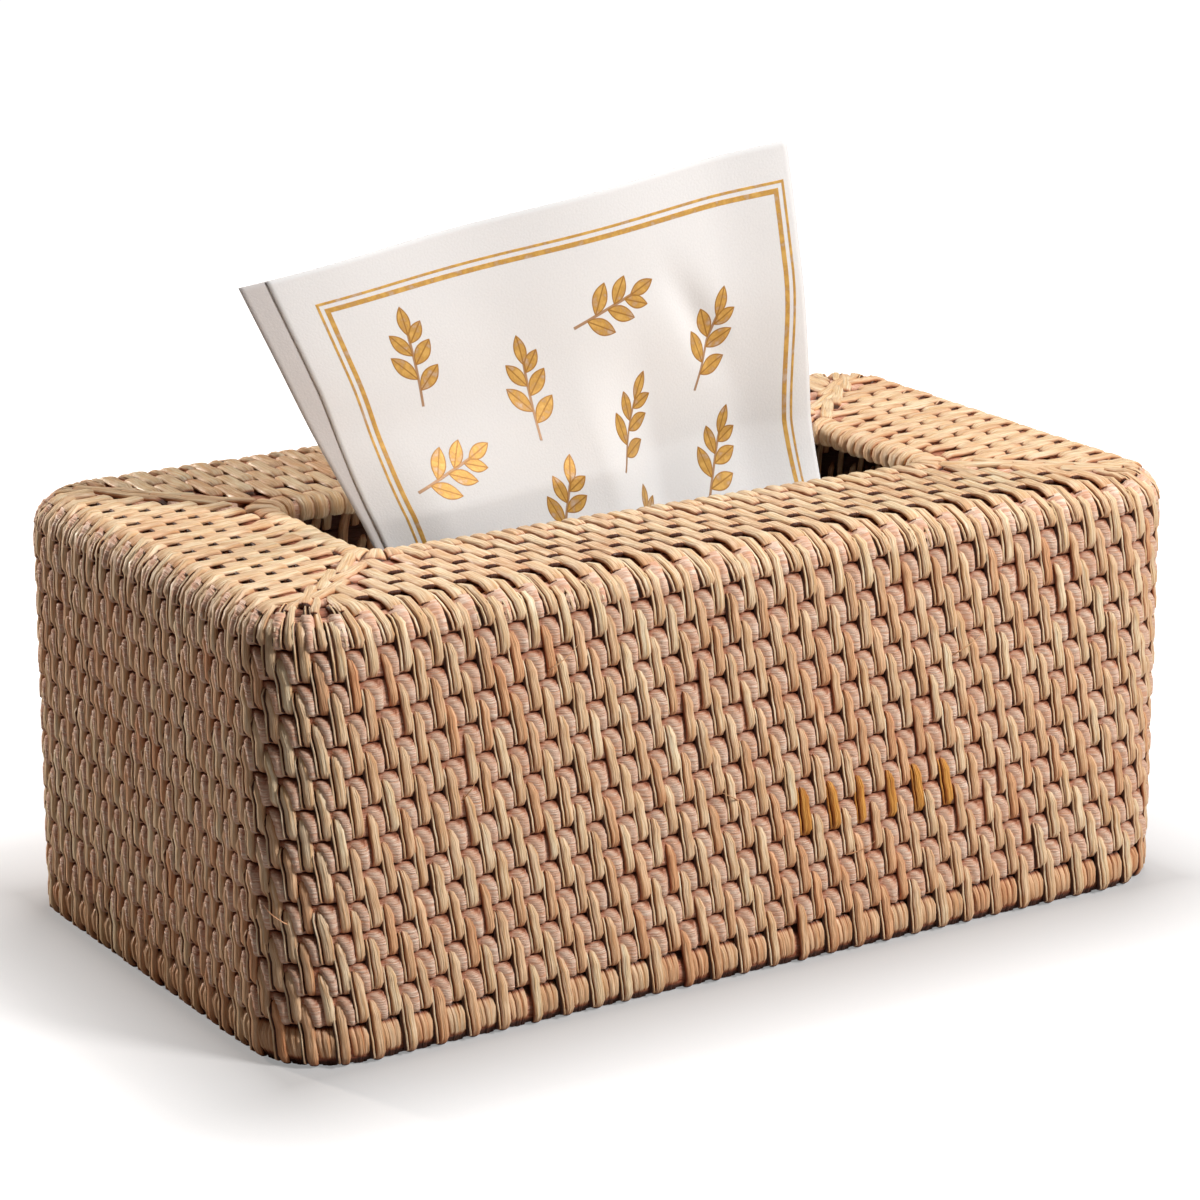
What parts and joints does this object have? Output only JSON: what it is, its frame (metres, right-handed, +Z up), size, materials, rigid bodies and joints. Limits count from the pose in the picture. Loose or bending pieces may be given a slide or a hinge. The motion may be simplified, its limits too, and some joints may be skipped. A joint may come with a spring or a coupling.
{
  "type": "tissue box cover",
  "caption": "Oblong coiled rattan tissue box cover with rounded corners, a wrapped slot in its top, an open bottom, a folded refill inside and a tissue standing in the slot.",
  "frame": {"origin": "middle of the footprint, on the surface that the cover stands on", "axes": "+X along the cover's length, -Y towards the front, +Z up"},
  "size_m": [0.26, 0.1474, 0.1882],
  "materials": {
    "rattan_core": "matt split rattan",
    "folded_tissue": "soft white tissue",
    "tissue_ply": "soft white tissue"
  },
  "bodies": {
    "refill": {"tissue_stack": "folded_tissue"},
    "cover": {"base_rim": "rattan_core", "side_course_01": "rattan_core", "side_course_02": "rattan_core", "side_course_03": "rattan_core", "side_course_04": "rattan_core", "side_course_05": "rattan_core", "side_course_06": "rattan_core", "side_course_07": "rattan_core", "side_course_08": "rattan_core", "side_course_09": "rattan_core", "side_course_10": "rattan_core", "side_course_11": "rattan_core", "side_course_12": "rattan_core", "lower_edge_course": "rattan_core", "upper_edge_course": "rattan_core", "top_course_1": "rattan_core", "top_course_2": "rattan_core", "top_course_3": "rattan_core", "top_course_4": "rattan_core", "opening_rim": "rattan_core"},
    "pulled_tissue": {"pulled_tissue_front_ply": "tissue_ply", "pulled_tissue_back_ply": "tissue_ply"}
  },
  "joints": [
    {"name": "cover_lift", "type": "slide", "parent": "refill", "child": "cover", "axis": [0, 0, 1], "range_m": [0, 0.15]},
    {"name": "tissue_pull", "type": "slide", "parent": "cover", "child": "pulled_tissue", "axis": [0, 0, 1], "range_m": [0, 0.13]}
  ]
}
